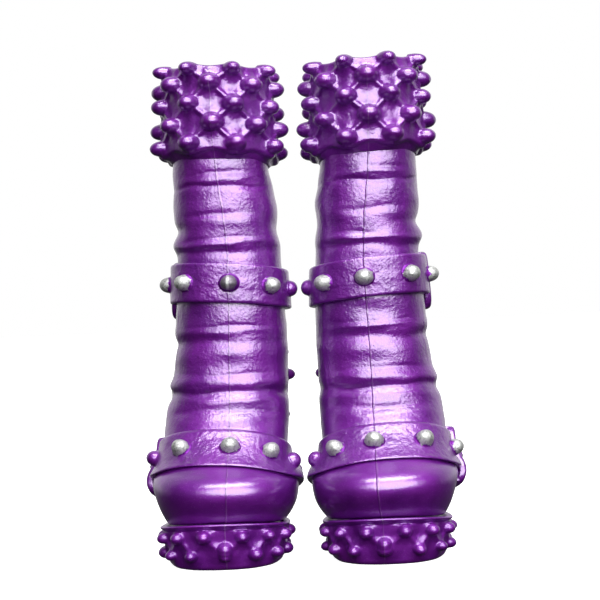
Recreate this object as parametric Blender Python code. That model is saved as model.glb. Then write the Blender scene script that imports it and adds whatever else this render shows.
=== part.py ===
"""A pair of studded platform boots for a fashion doll, each built from its separate pieces.

Lengths in this file are millimetres until a piece is added to the scene, which is in metres.
Each boot is designed once, in its own frame: the shaft's axis is Z, the toe points to -Y, and +X is
the outer side of the leg. The wearer's left boot stands at +X, and the right boot is its mirror image.
Angles round a boot are measured from the front seam (0) through the outer side (90) to the back (180).
"""

import math
from collections import namedtuple

import bmesh
import bpy
from mathutils import Vector

MM = 0.001

# The pair
BOOT_SPACING = 8.95            # from the middle of the pair to each shaft's axis at the calf strap
DEPTH_SHIFT = 3.66             # moves both boots back, so that the origin is under the middle of the pair
TOP_HEIGHT = 60.9              # rim of the cuff above the floor
ROUND = 24                     # sides of a full turn

# The upper: one row for each height, from the sole to the top:
# height, shift to the outer side, front, back, half width
UPPER_STATIONS = (
    (5.2, 0.75, -15.8, -2.9, 7.1),
    (6.2, 0.65, -16.35, -2.2, 7.8),
    (7.2, 0.60, -16.9, -1.5, 8.35),
    (8.2, 0.65, -17.2, -0.85, 8.7),
    (9.2, 0.75, -17.2, -0.15, 8.9),
    (10.0, 0.84, -16.85, 0.45, 8.8),
    (10.7, 0.92, -16.1, 1.0, 8.5),
    (11.3, 0.97, -15.1, 1.45, 8.1),
    (12.5, 1.0, -13.3, 2.4, 7.75),
    (14.0, 0.95, -11.5, 3.8, 7.75),
    (16.0, 0.85, -9.7, 5.4, 7.8),
    (18.0, 0.70, -8.5, 6.6, 7.7),
    (20.5, 0.45, -7.7, 7.3, 7.4),
    (25.0, 0.0, -7.1, 7.3, 7.1),
    (30.0, -0.08, -6.8, 6.9, 6.95),
    (37.0, -0.10, -6.6, 6.6, 6.6),
    (43.0, 0.12, -6.4, 6.4, 6.45),
    (48.5, 0.42, -6.1, 6.1, 6.1),
    (60.2, 0.42, -5.8, 5.8, 5.8),
)
UPPER_TOP = UPPER_STATIONS[-1][0]
INSOLE_HEIGHT = 7.4
UPPER_RINGS = (
    5.2, 5.6, 6.2, 7.2, 8.2, 9.2, 10, 10.7, 11.3, 12, 13, 14, 15, 16,
    18, 20.5, 25, 31, 36.5, 43, 48.5, UPPER_TOP,
)
LINING_RINGS = (UPPER_TOP, 48.5, 36.5, 25, 20.5, 18, 16, 14, 12, 10.5, 9, INSOLE_HEIGHT)
WALL = 0.8
TOE_SPRING = 1.2               # how far the sole rises to the toe tip from the ball of the foot
BALL, TOE_LENGTH = -7.0, 10.0  # where the sole starts to rise, and how far on the toe tip is
GAP = 0.08                     # clearance between neighbouring pieces
BUCKLE_GAP = 0.22              # clearance between a buckle and its strap
HEEL_GAP = 0.2                 # clearance between the heel's hollow and the upper

# Exponents of the ovals: 2 is an ellipse, more is squarer
UPPER_OVAL, PLATFORM_OVAL, HEEL_OVAL = 2.25, 2.4, 2.6

# The cuff: its odd columns have a knob at the rim, and its rows are (height, knob radius)
CUFF_BOTTOM = 48.9
CUFF_HEM = 49.95               # where the outer wall ends, above the sloping underside
CUFF_TOP_RADIUS = 6.75
CUFF_BOTTOM_RADIUS = 7.65
CUFF_DROP = 0.07               # fall of the cuff's lower rim towards the back, per mm
CUFF_LEAN = 0.28               # rise of the cuff at the outer side, and its fall at the inner side
CUFF_EASE = 0.35               # rounding of the cuff's rims
CUFF_COLUMNS = 16
CUFF_TURN = 2.2                # angle of the first column of knobs
CUFF_EVEN_ROWS = ((58.4, 1.15), (53.5, 1.15))
CUFF_ODD_ROWS = ((60.3, 0.9), (56.0, 1.1), (51.1, 1.1))

# A strap's middle height, width, fall from front to back, rise at the outer side,
# and how far its face stands off the upper at its lower and upper edges
Strap = namedtuple("Strap", "height width drop lean low_face high_face")
CALF = Strap(33.7, 4.9, 1.0, 0.55, 0.8, 0.8)
INSTEP = Strap(14.1, 3.9, 5.2, 0.38, 0.65, 0.55)
STRAP_BACK = 0.15              # how far a strap's inner side stands off the upper
STRAP_EDGE = 0.25              # rounding of a strap's edges

CALF_STUDS = (-3, 40, 84, -44, -84, -126, -168)
INSTEP_STUDS = (-7, 31, 80, -43, -80, -122, -160, 160)
SILVER_STUDS = 4               # the first studs of each strap are painted
UNPAINTED = ("right_instep_stud_3",)
STUD_RADIUS, STUD_LENGTH = 1.15, 1.4
INNER_STUD_LENGTH = 1.05       # studs on the inner side, which face the other boot
INNER_STUD_ANGLES = (-130, -60)
STUD_SIDES = 7

# The buckles: angle of each one's middle and how far it sits below the strap's middle line,
# and the sizes of its frame and prong
Buckle = namedtuple("Buckle", "angle drop")
CALF_BUCKLE = Buckle(124, 0.45)
INSTEP_BUCKLE = Buckle(113, 0.1)
BUCKLE_HALF_TURN = 19
BUCKLE_OVERHANG = 1.3          # how far the frame reaches beyond the strap's edges
BUCKLE_THICKNESS = 0.4
SIDE_BAR_TURN, SIDE_BAR_INSET = 6, 0.7
PRONG_HALF_WIDTH, PRONG_THICKNESS, PRONG_INSET = 0.5, 0.9, 2

# Moulded knobs of the cuff, the platform and the heel
CUFF_KNOB_LENGTH = 1.55
SOLE_KNOB_RADIUS, SOLE_KNOB_LENGTH = 0.78, 1.0
KNOB_SIDES = 5
KNOB_PROFILE = ((0.6, 0.88), (1.0, 0.35))   # share of the length, share of the radius

# The platform and the heel
PLATFORM_FRONT, PLATFORM_BACK, PLATFORM_SHIFT = -16.6, -1.6, 0.85
PLATFORM_TOP, PLATFORM_HALF_WIDTH, PLATFORM_UNDERCUT = 5.1, 7.7, 0.75
PLATFORM_LEVELS = ((0.0, -0.5), (0.5, 0.0), (4.2, 0.0), (4.85, 0.25), (PLATFORM_TOP, 0.0))
PLATFORM_ROWS = (3.75, 1.75)
PLATFORM_KNOBS = 13            # knobs in each row
PLATFORM_TURN = -2.5           # angle of the lower row's first knob
# height, front, back, half width
HEEL_STATIONS = (
    (0.0, 2.0, 8.6, 4.1),
    (10.0, 2.6, 8.5, 4.5),
    (15.0, 2.4, 8.9, 5.6),
    (19.5, 1.6, 9.0, 6.7),
    (25.6, 1.8, 8.7, 6.8),
)
HEEL_SHIFT = 0.1
HEEL_SIDES = 20
HEEL_LEVELS = (
    (0.0, -0.3), (0.35, 0.0), (5.0, 0.0), (10.0, 0.0), (13.0, 0.0),
    (15.0, 0.0), (17.5, 0.0), (19.5, 0.0), (22.5, 0.0), (25.6, 0.0),
)
# Rows of knobs: height, angle of the row's first knob
HEEL_ROWS = ((2.4, 60), (7.2, 80), (12.0, 60), (16.6, 80), (21.5, 100), (24.4, 120))
HEEL_KNOB_STEP = 40
# Heights of the space that is cut from the heel for the upper
HEEL_HOLLOW_RINGS = (5.2, 6.2, 8.0, 10.0, 12.5, 14.0, 16.0, 18.0, 20.5, 25.0, 30.0)


def clear_scene():
    for obj in list(bpy.data.objects):
        bpy.data.objects.remove(obj)


def make_material(name, colour, roughness, metallic):
    material = bpy.data.materials.new(name)
    material.use_nodes = True
    shader = material.node_tree.nodes["Principled BSDF"]
    shader.inputs["Base Color"].default_value = (*colour, 1)
    shader.inputs["Roughness"].default_value = roughness
    shader.inputs["Metallic"].default_value = metallic
    material.diffuse_color = (*colour, 1)
    return material


def smooth_step(t):
    t = min(max(t, 0.0), 1.0)
    return t * t * (3 - 2 * t)


def between_stations(stations, height):
    """The row of values at a height, on a smooth curve through the stations."""
    last = len(stations) - 2
    index = 0
    while index < last and height > stations[index + 1][0]:
        index += 1
    low, high = stations[index], stations[index + 1]
    before = stations[max(index - 1, 0)]
    after = stations[min(index + 2, len(stations) - 1)]
    span = high[0] - low[0]
    t = (height - low[0]) / span
    values = []
    for k in range(1, len(low)):
        slope_low = (high[k] - before[k]) / (high[0] - before[0]) * span
        slope_high = (after[k] - low[k]) / (after[0] - low[0]) * span
        values.append(
            (2 * t**3 - 3 * t**2 + 1) * low[k]
            + (t**3 - 2 * t**2 + t) * slope_low
            + (3 * t**2 - 2 * t**3) * high[k]
            + (t**3 - t**2) * slope_high
        )
    return values


def oval_point(angle, centre, front, back, half_width, exponent):
    """A point on an oval whose front and back halves have different depths."""
    sine, cosine = math.sin(math.radians(angle)), math.cos(math.radians(angle))
    across = math.copysign(abs(sine) ** (2 / exponent), sine)
    along = math.copysign(abs(cosine) ** (2 / exponent), cosine)
    return (
        centre[0] + half_width * across,
        centre[1] - (front if cosine > 0 else back) * along,
    )


def sole_rise(y):
    """Height of the sole's curve at y, from 0 under the ball to the full spring at the toe tip."""
    return TOE_SPRING * min(max((BALL - y) / TOE_LENGTH, 0.0), 1.0) ** 1.7


def upper_point(angle, height, offset=0.0):
    """A point on the upper's outer surface, moved outwards by the offset."""
    shift, front, back, half_width = between_stations(UPPER_STATIONS, height)
    blend = smooth_step((height - 10) / 8)
    middle = (0.38 * front + 0.62 * back) * (1 - blend) + 0.5 * (front + back) * blend
    x, y = oval_point(
        angle,
        (shift, middle),
        middle - front + offset,
        back - middle + offset,
        half_width + offset,
        UPPER_OVAL,
    )
    spring = (sole_rise(y) - 0.5 * TOE_SPRING) * (1 - smooth_step((height - 6) / 4))
    return Vector((x, y, height + spring))


def normal_at(surface, angle, height):
    """The outward unit normal of a surface given as a function of angle and height."""
    across = surface(angle + 1, height) - surface(angle - 1, height)
    up = surface(angle, height + 0.1) - surface(angle, height - 0.1)
    return across.cross(up).normalized()


def turn(count=ROUND):
    return [360 * k / count for k in range(count)]


class Shape:
    """Points and faces of one closed body, in millimetres in the boot's own frame."""

    def __init__(self):
        self.points = []
        self.faces = []

    def add_loft(self, rings, closed):
        """Skins rings of equal length; a closed loft joins its last ring to its first, others are capped."""
        start = len(self.points)
        count = len(rings[0])
        for ring in rings:
            self.points.extend(ring)
        for j in range(len(rings) if closed else len(rings) - 1):
            low = start + j * count
            high = start + (j + 1) % len(rings) * count
            for i in range(count):
                k = (i + 1) % count
                self.faces.append((low + i, low + k, high + k, high + i))
        if not closed:
            self.faces.append(tuple(range(start + count - 1, start - 1, -1)))
            self.faces.append(tuple(start + (len(rings) - 1) * count + i for i in range(count)))
        return self

    def add_knob(self, base, direction, radius, length, sunk, sides=KNOB_SIDES):
        """A round-nosed stud that starts below its base point."""
        side = direction.orthogonal().normalized()
        other = direction.cross(side)
        profile = [(-sunk, 1.0)] + [(share * length, width) for share, width in KNOB_PROFILE]
        rings = []
        for along, share in profile:
            ring = []
            for angle in turn(sides):
                spoke = side * math.cos(math.radians(angle)) + other * math.sin(math.radians(angle))
                ring.append(base + direction * along + spoke * radius * share)
            rings.append(ring)
        return self.add_loft(rings, closed=False)


def add_piece(name, shape, side, material, visible=True):
    """Puts a shape in the scene as the left (side 1) or the mirrored right (side -1) boot's piece."""
    mesh = bpy.data.meshes.new(name)
    points = [
        (side * (BOOT_SPACING + p[0]) * MM, (p[1] + DEPTH_SHIFT) * MM, p[2] * MM) for p in shape.points
    ]
    faces = [face if side > 0 else face[::-1] for face in shape.faces]
    mesh.from_pydata(points, [], faces)
    work = bmesh.new()
    work.from_mesh(mesh)
    bmesh.ops.triangulate(work, faces=[face for face in work.faces if len(face.verts) > 4])
    work.to_mesh(mesh)
    work.free()
    mesh.materials.append(material)
    obj = bpy.data.objects.new(name, mesh)
    bpy.context.scene.collection.objects.link(obj)
    if visible:
        mesh.shade_smooth()
        mesh.set_sharp_from_angle(angle=math.radians(50))
    else:
        obj.hide_render = True
        obj.display_type = "WIRE"
    return obj


def join_shape(obj, tool, operation):
    modifier = obj.modifiers.new(tool.name, "BOOLEAN")
    modifier.operation = operation
    modifier.object = tool
    modifier.solver = "EXACT"


def upper_shape():
    """The hollow boot: outer skin from sole to top, then the lining from the top down to the insole."""
    outer = [[upper_point(a, z) for a in turn()] for z in UPPER_RINGS]
    inner = [[upper_point(a, z, -WALL) for a in turn()] for z in LINING_RINGS]
    return Shape().add_loft(outer + inner, closed=False)


def cuff_lean(angle):
    return CUFF_LEAN * math.sin(math.radians(angle))


def cuff_point(angle, height, offset=0.0):
    """A point on the cuff's outer skin, which flares downwards and leans a little."""
    share = (TOP_HEIGHT - height) / (TOP_HEIGHT - CUFF_BOTTOM)
    radius = CUFF_TOP_RADIUS + (CUFF_BOTTOM_RADIUS - CUFF_TOP_RADIUS) * share + offset
    shift = between_stations(UPPER_STATIONS, min(height, UPPER_TOP))[0]
    x = shift + radius * math.sin(math.radians(angle))
    y = -radius * math.cos(math.radians(angle))
    drop = CUFF_DROP * share * (y + CUFF_BOTTOM_RADIUS)
    return Vector((x, y, height - drop + cuff_lean(angle)))


def cuff_bore_point(angle, height, reach):
    """A point of the cuff's bore, clear of the upper, at a height that may be above the upper's rim."""
    point = upper_point(angle, min(height, UPPER_TOP), reach)
    return Vector((point.x, point.y, height + cuff_lean(angle)))


def cuff_shape():
    profile = (
        (CUFF_BOTTOM + 0.2, -1.15),
        (CUFF_HEM, -0.3),
        (CUFF_HEM + CUFF_EASE, 0.0),
        (55.0, 0.0),
        (TOP_HEIGHT - CUFF_EASE, 0.0),
        (TOP_HEIGHT, -CUFF_EASE),
    )
    outer = [[cuff_point(a, z, inset) for a in turn()] for z, inset in profile]
    inner = [[cuff_bore_point(a, z, GAP) for a in turn()] for z in (TOP_HEIGHT, CUFF_BOTTOM + 2 * CUFF_EASE)]
    return Shape().add_loft(outer + inner, closed=True)


def cuff_knobs():
    shape = Shape()
    for column in range(CUFF_COLUMNS):
        angle = CUFF_TURN + 360 * column / CUFF_COLUMNS
        outward = Vector((math.sin(math.radians(angle)), -math.cos(math.radians(angle)), 0))
        for height, radius in CUFF_ODD_ROWS if column % 2 else CUFF_EVEN_ROWS:
            shape.add_knob(cuff_point(angle, height), outward, radius, CUFF_KNOB_LENGTH, sunk=0.45)
    return shape


def strap_height(angle, strap):
    """Height of a strap's middle line, which falls from front to back and rises to the outer side."""
    fall = strap.drop * (1 - math.cos(math.radians(angle))) / 2
    return strap.height - fall + strap.lean * math.sin(math.radians(angle))


def strap_face_point(strap, angle, rise, ease=0.0):
    """A point of the strap's outer face, at a rise from its middle line and eased inwards."""
    face = strap.low_face + (strap.high_face - strap.low_face) * (0.5 + rise / strap.width)
    return upper_point(angle, strap_height(angle, strap) + rise, face - ease)


def strap_shape(strap):
    """A band round the upper with softened outer edges, fitted to the upper on its inner side."""
    half = 0.5 * strap.width
    face = ((-half, STRAP_EDGE), (STRAP_EDGE - half, 0.0), (half - STRAP_EDGE, 0.0), (half, STRAP_EDGE))
    back = (half, 0.5 * half, 0.0, -0.5 * half, -half)
    rings = [[strap_face_point(strap, a, rise, ease) for a in turn()] for rise, ease in face]
    rings += [[upper_point(a, strap_height(a, strap) + rise, STRAP_BACK) for a in turn()] for rise in back]
    return Shape().add_loft(rings, closed=True)


def strap_stud(angle, strap):
    """A cone stud standing on a strap's outer face, which is straight from its lower to its upper edge."""

    def face(place, rise):
        half = 0.5 * strap.width - STRAP_EDGE
        low, high = strap_face_point(strap, place, -half), strap_face_point(strap, place, half)
        return low.lerp(high, 0.5 + 0.5 * rise / half)

    outward = normal_at(face, angle, 0.0)
    base = face(angle, 0.0) + outward * GAP
    low, high = INNER_STUD_ANGLES
    length = INNER_STUD_LENGTH if low < angle < high else STUD_LENGTH
    return Shape().add_knob(base, outward, STUD_RADIUS, length - GAP, sunk=0.0, sides=STUD_SIDES)


def curved_bar(strap, angles, rises, offsets):
    """A bar that follows the upper's surface: two angles, two rises and two offsets from the skin."""
    steps = 4
    corners = ((rises[0], offsets[0]), (rises[1], offsets[0]), (rises[1], offsets[1]), (rises[0], offsets[1]))
    rings = []
    for k in range(steps + 1):
        angle = angles[0] + (angles[1] - angles[0]) * k / steps
        middle = strap_height(angle, strap)
        rings.append([upper_point(angle, middle + rise, offset) for rise, offset in corners])
    return Shape().add_loft(rings, closed=False)


def buckle_bars(strap, buckle):
    """The frame's four bars and its prong: the frame lies on the strap and hooks over both its edges."""
    face = max(strap.low_face, strap.high_face) + BUCKLE_GAP
    outside = face + BUCKLE_THICKNESS
    edge = 0.5 * strap.width + BUCKLE_GAP
    top = 0.5 * strap.width + BUCKLE_OVERHANG - buckle.drop
    bottom = -0.5 * strap.width - BUCKLE_OVERHANG - buckle.drop
    left, right = buckle.angle - BUCKLE_HALF_TURN, buckle.angle + BUCKLE_HALF_TURN
    yield curved_bar(strap, (left, right), (edge, top), (STRAP_BACK, outside))
    yield curved_bar(strap, (left, right), (bottom, -edge), (STRAP_BACK, outside))
    reach = (0.5 * (bottom - edge), 0.5 * (edge + top))
    for start in (left + SIDE_BAR_INSET, right - SIDE_BAR_TURN - SIDE_BAR_INSET):
        span = (start, start + SIDE_BAR_TURN)
        yield curved_bar(strap, span, reach, (face, outside - 0.05))
    span = (left + PRONG_INSET, right - PRONG_INSET)
    rises = (-PRONG_HALF_WIDTH, PRONG_HALF_WIDTH)
    yield curved_bar(strap, span, rises, (face + 0.03, face + PRONG_THICKNESS))


def platform_point(angle, height, offset=0.0):
    """A point on the platform's wall, which leans in towards the floor."""
    lean = PLATFORM_UNDERCUT * (1 - height / PLATFORM_TOP)
    middle = 0.5 * (PLATFORM_FRONT + PLATFORM_BACK)
    depth = 0.5 * (PLATFORM_BACK - PLATFORM_FRONT) - lean + offset
    half_width = PLATFORM_HALF_WIDTH - lean + offset
    x, y = oval_point(angle, (PLATFORM_SHIFT, middle), depth, depth, half_width, PLATFORM_OVAL)
    spring = (sole_rise(y) - 0.5 * TOE_SPRING) * height / PLATFORM_TOP
    return Vector((x, y, height + spring))


def platform_shape():
    rings = [[platform_point(a, z, inset) for a in turn()] for z, inset in PLATFORM_LEVELS]
    return Shape().add_loft(rings, closed=False)


def platform_knobs():
    shape = Shape()
    for row, height in enumerate(PLATFORM_ROWS):
        for k in range(PLATFORM_KNOBS):
            angle = PLATFORM_TURN + 360 * (k + 0.5 * (1 - row)) / PLATFORM_KNOBS
            base = platform_point(angle, height)
            outward = normal_at(platform_point, angle, height)
            shape.add_knob(base, outward, SOLE_KNOB_RADIUS, SOLE_KNOB_LENGTH, sunk=0.4)
    return shape


def heel_point(angle, height, offset=0.0):
    front, back, half_width = between_stations(HEEL_STATIONS, height)
    middle = 0.5 * (front + back)
    depth = 0.5 * (back - front) + offset
    x, y = oval_point(angle, (HEEL_SHIFT, middle), depth, depth, half_width + offset, HEEL_OVAL)
    return Vector((x, y, height))


def heel_shape():
    """The heel's full outline. Its top is hollowed to take the back of the upper."""
    rings = [[heel_point(a, z, inset) for a in turn(HEEL_SIDES)] for z, inset in HEEL_LEVELS]
    return Shape().add_loft(rings, closed=False)


def heel_knob_angles(first):
    """Angles of a row of knobs, from the first one on the outer side round the back to the inner side."""
    outer = list(range(first, 181, HEEL_KNOB_STEP))
    return outer + [-angle for angle in reversed(outer) if angle != 180]


def heel_knobs():
    shape = Shape()
    for height, first in HEEL_ROWS:
        for angle in heel_knob_angles(first):
            base = heel_point(angle, height)
            outward = normal_at(heel_point, angle, height)
            shape.add_knob(base, outward, SOLE_KNOB_RADIUS, SOLE_KNOB_LENGTH, sunk=0.3)
    return shape


def upper_room():
    """The space that the upper takes, with clearance, for cutting the heel."""
    rings = [[upper_point(a, z, HEEL_GAP) for a in turn()] for z in HEEL_HOLLOW_RINGS]
    return Shape().add_loft(rings, closed=False)


def make_studs(prefix, strap_name, strap, angles, side, vinyl, silver):
    for number, angle in enumerate(angles, start=1):
        name = f"{prefix}_{strap_name}_stud_{number}"
        painted = number <= SILVER_STUDS and name not in UNPAINTED
        add_piece(name, strap_stud(angle, strap), side, silver if painted else vinyl)


def make_buckle(name, strap, buckle, side, vinyl):
    bars = list(buckle_bars(strap, buckle))
    frame = add_piece(name, bars[0], side, vinyl)
    for number, bar in enumerate(bars[1:], start=1):
        join_shape(frame, add_piece(f"{name}_bar_{number}", bar, side, vinyl, visible=False), "UNION")


def make_boot(prefix, side, vinyl, silver):
    add_piece(f"{prefix}_upper", upper_shape(), side, vinyl)

    cuff = add_piece(f"{prefix}_cuff", cuff_shape(), side, vinyl)
    join_shape(cuff, add_piece(f"{prefix}_cuff_knobs", cuff_knobs(), side, vinyl, visible=False), "UNION")

    add_piece(f"{prefix}_calf_strap", strap_shape(CALF), side, vinyl)
    make_studs(prefix, "calf", CALF, CALF_STUDS, side, vinyl, silver)
    make_buckle(f"{prefix}_calf_buckle", CALF, CALF_BUCKLE, side, vinyl)

    add_piece(f"{prefix}_instep_strap", strap_shape(INSTEP), side, vinyl)
    make_studs(prefix, "instep", INSTEP, INSTEP_STUDS, side, vinyl, silver)
    make_buckle(f"{prefix}_instep_buckle", INSTEP, INSTEP_BUCKLE, side, vinyl)

    platform = add_piece(f"{prefix}_platform", platform_shape(), side, vinyl)
    knobs = add_piece(f"{prefix}_platform_knobs", platform_knobs(), side, vinyl, visible=False)
    join_shape(platform, knobs, "UNION")

    heel = add_piece(f"{prefix}_heel", heel_shape(), side, vinyl)
    join_shape(heel, add_piece(f"{prefix}_heel_knobs", heel_knobs(), side, vinyl, visible=False), "UNION")
    room = add_piece(f"{prefix}_upper_room", upper_room(), side, vinyl, visible=False)
    join_shape(heel, room, "DIFFERENCE")


def main():
    clear_scene()
    vinyl = make_material("purple_vinyl", (0.13, 0.012, 0.25), 0.35, 0.3)
    silver = make_material("silver_paint", (0.55, 0.55, 0.55), 0.35, 0.9)
    make_boot("right", -1, vinyl, silver)
    make_boot("left", 1, vinyl, silver)


main()
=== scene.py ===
"""Looks for a pair of studded platform doll boots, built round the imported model.

The boots are moulded soft plastic: pearly purple all over, with silver paint on the front studs.
Pieces are worked out in millimetres in one boot's own frame (shaft axis Z, toe to -Y, outer side +X)
and mirrored for the other boot. Angles go from the front seam (0) through the outer side (90) to the back.
"""

import math
import random
from collections import namedtuple

import bpy
import numpy as np
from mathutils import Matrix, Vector


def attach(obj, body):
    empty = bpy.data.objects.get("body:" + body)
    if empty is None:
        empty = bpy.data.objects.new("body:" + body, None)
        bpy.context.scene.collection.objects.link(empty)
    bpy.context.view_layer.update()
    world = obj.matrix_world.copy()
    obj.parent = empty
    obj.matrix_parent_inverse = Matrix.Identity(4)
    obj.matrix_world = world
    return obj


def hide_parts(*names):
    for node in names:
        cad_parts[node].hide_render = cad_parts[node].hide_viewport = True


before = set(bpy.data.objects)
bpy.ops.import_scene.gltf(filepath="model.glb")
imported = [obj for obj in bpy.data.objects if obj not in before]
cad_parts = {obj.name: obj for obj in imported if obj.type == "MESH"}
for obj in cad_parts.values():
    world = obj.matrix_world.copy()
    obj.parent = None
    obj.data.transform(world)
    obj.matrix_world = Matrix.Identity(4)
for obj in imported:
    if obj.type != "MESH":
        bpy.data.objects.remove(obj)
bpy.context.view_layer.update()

MM = 0.001
SIDES = {"right": -1, "left": 1}
# Each boot's parting line and its own unevenness: height of the flash in millimetres, seed
RELIEFS = {"right": (0.04, 2), "left": (0.09, 5)}
# The stud whose silver paint has worn dull
WORN = ("right_calf_stud_1",)

# Driving dimensions of the model, in millimetres
BOOT_SPACING = 8.95
DEPTH_SHIFT = 3.66
TOP_HEIGHT = 60.9
UPPER_STATIONS = np.array((
    # height, shift to the outer side, front, back, half width
    (5.2, 0.75, -15.8, -2.9, 7.1),
    (6.2, 0.65, -16.35, -2.2, 7.8),
    (7.2, 0.60, -16.9, -1.5, 8.35),
    (8.2, 0.65, -17.2, -0.85, 8.7),
    (9.2, 0.75, -17.2, -0.15, 8.9),
    (10.0, 0.84, -16.85, 0.45, 8.8),
    (10.7, 0.92, -16.1, 1.0, 8.5),
    (11.3, 0.97, -15.1, 1.45, 8.1),
    (12.5, 1.0, -13.3, 2.4, 7.75),
    (14.0, 0.95, -11.5, 3.8, 7.75),
    (16.0, 0.85, -9.7, 5.4, 7.8),
    (18.0, 0.70, -8.5, 6.6, 7.7),
    (20.5, 0.45, -7.7, 7.3, 7.4),
    (25.0, 0.0, -7.1, 7.3, 7.1),
    (30.0, -0.08, -6.8, 6.9, 6.95),
    (37.0, -0.10, -6.6, 6.6, 6.6),
    (43.0, 0.12, -6.4, 6.4, 6.45),
    (48.5, 0.42, -6.1, 6.1, 6.1),
    (60.2, 0.42, -5.8, 5.8, 5.8),
))
# Where the mould's front parting line runs: height, x
SEAM_STATIONS = np.array((
    (5.0, 0.25),
    (6.5, 0.0),
    (9.5, -0.18),
    (17.5, -0.19),
    (25.0, -0.29),
    (31.0, -0.50),
    (36.0, -0.57),
    (41.0, -0.30),
    (47.0, 0.40),
    (53.0, 0.68),
    (60.2, 0.72),
))
# The rounding of the upper's rim starts at UPPER_RIM
UPPER_BOTTOM, UPPER_TOP, UPPER_RIM = 5.2, 60.2, 60.0
# Exponents of the sections: 2 is an ellipse, and more is squarer
UPPER_OVAL, PLATFORM_OVAL, HEEL_OVAL, BUCKLE_OVAL = 2.25, 2.4, 2.6, 5
WALL, INSOLE_HEIGHT = 0.8, 7.4
TOE_SPRING, BALL, TOE_LENGTH = 1.2, -7.0, 10.0
CUFF_BOTTOM, CUFF_HEM, CUFF_TOP_RADIUS, CUFF_BOTTOM_RADIUS = 48.9, 49.95, 6.75, 7.65
CUFF_DROP, CUFF_LEAN, CUFF_TURN = 0.07, 0.28, 2.2
CUFF_COLUMNS = 16
# Rows of knobs in the cuff's even and odd columns: height, radius
CUFF_EVEN_ROWS = ((58.4, 1.15), (53.5, 1.15))
CUFF_ODD_ROWS = ((60.3, 0.9), (56.0, 1.1), (51.1, 1.1))
# Lengths of knobs are from the foot, which is a little below the plain surface
CUFF_KNOB_LENGTH = 1.85
# A strap's middle line: its height, fall to the back and rise to the outer side. Its face stands off the
# upper by low_face at the lower edge and high_face at the upper edge.
Strap = namedtuple("Strap", "height width drop lean low_face high_face")
CALF = Strap(33.7, 4.9, 1.0, 0.55, 0.8, 0.8)
INSTEP = Strap(14.1, 3.9, 5.2, 0.38, 0.65, 0.55)
# Angles of the studs, of which the first SILVER_STUDS on each strap are painted
CALF_STUDS = (-3, 40, 84, -44, -84, -126, -168)
INSTEP_STUDS = (-7, 31, 80, -43, -80, -122, -160, 160)
SILVER_STUDS = 4
UNPAINTED = ("right_instep_stud_3",)
STUD_RADIUS, STUD_LENGTH, INNER_STUD_LENGTH = 1.15, 1.4, 1.05
# The angle of a buckle's middle, and how far it sits below the strap's middle line
Buckle = namedtuple("Buckle", "angle drop")
CALF_BUCKLE, INSTEP_BUCKLE = Buckle(124, 0.45), Buckle(113, 0.1)
BUCKLE_HALF_TURN, BUCKLE_OVERHANG, BUCKLE_THICKNESS, BUCKLE_BAR = 19, 1.3, 0.45, 0.9
BUCKLE_RADIUS = 8
PRONG_HALF_WIDTH = 0.5
SOLE_KNOB_RADIUS, SOLE_KNOB_LENGTH = 0.78, 1.23
PLATFORM_FRONT, PLATFORM_BACK, PLATFORM_SHIFT = -16.6, -1.6, 0.85
PLATFORM_TOP, PLATFORM_HALF_WIDTH, PLATFORM_UNDERCUT = 5.1, 7.7, 0.75
PLATFORM_ROWS, PLATFORM_KNOBS, PLATFORM_TURN = (3.75, 1.75), 13, -2.5
HEEL_STATIONS = np.array((
    # height, front, back, half width
    (0.0, 2.0, 8.6, 4.1),
    (10.0, 2.6, 8.5, 4.5),
    (15.0, 2.4, 8.9, 5.6),
    (19.5, 1.6, 9.0, 6.7),
    (25.6, 1.8, 8.7, 6.8),
))
HEEL_SHIFT, HEEL_TOP = 0.1, 25.6
# Rows of the heel's knobs: height, angle of the first one
HEEL_ROWS = ((2.4, 60), (7.2, 80), (12.0, 60), (16.6, 80), (21.5, 100), (24.4, 120))
HEEL_KNOB_STEP = 40
INNER_STUD_ANGLES = (-130, -60)

# How the knobs' surfaces look. The flat cells of a web lie a little under the model's plain surface (the
# floor), and ridges and skirts round the knobs rise from them. The radius is the surface's mean radius.
Web = namedtuple("Web", "floor radius ridge_height ridge_width skirt_height skirt_width")
CUFF_WEB = Web(0.3, 7.2, 0.46, 0.42, 0.80, 1.25)
PLATFORM_WEB = Web(0.3, 7.4, 0.36, 0.50, 0.55, 1.05)
HEEL_WEB = Web(0.26, 5.2, 0.32, 0.42, 0.50, 0.95)
# How far a knob's foot is below the plain surface, its height as a share of its width, and how much wider
# the cuff's knobs are than the model's
CUFF_KNOB_FOOT, CUFF_KNOB_SQUASH, CUFF_KNOB_WIDENING = 0.22, 0.78, 1.14
PLATFORM_KNOB_FOOT, PLATFORM_KNOB_SQUASH = 0.24, 0.85
HEEL_KNOB_FOOT = 0.22
STUD_SQUASH = 0.88
# The greatest rise between two knobs of the cuff that a ridge joins, and the same for turns on the heel
CUFF_LINK_RISE, HEEL_LINK_TURN = 3.2, 25
# How deep a knob's own mesh goes into the surface it grows from
KNOB_SUNK, HEEL_KNOB_SUNK = 0.5, 0.3
# Melted skins: edge length of their faces, rounds of smoothing
Melt = namedtuple("Melt", "voxel smoothing")
CUFF_MELT, PLATFORM_MELT = Melt(0.1, 5), Melt(0.09, 5)
HEEL_MELT, BUCKLE_MELT = Melt(0.11, 4), Melt(0.08, 10)
# How many points a full turn of each piece has
UPPER_SIDES, WEB_SIDES, HEEL_SIDES, STUD_SIDES, KNOB_SIDES, SOLE_KNOB_SIDES = 240, 420, 300, 40, 20, 14

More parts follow.
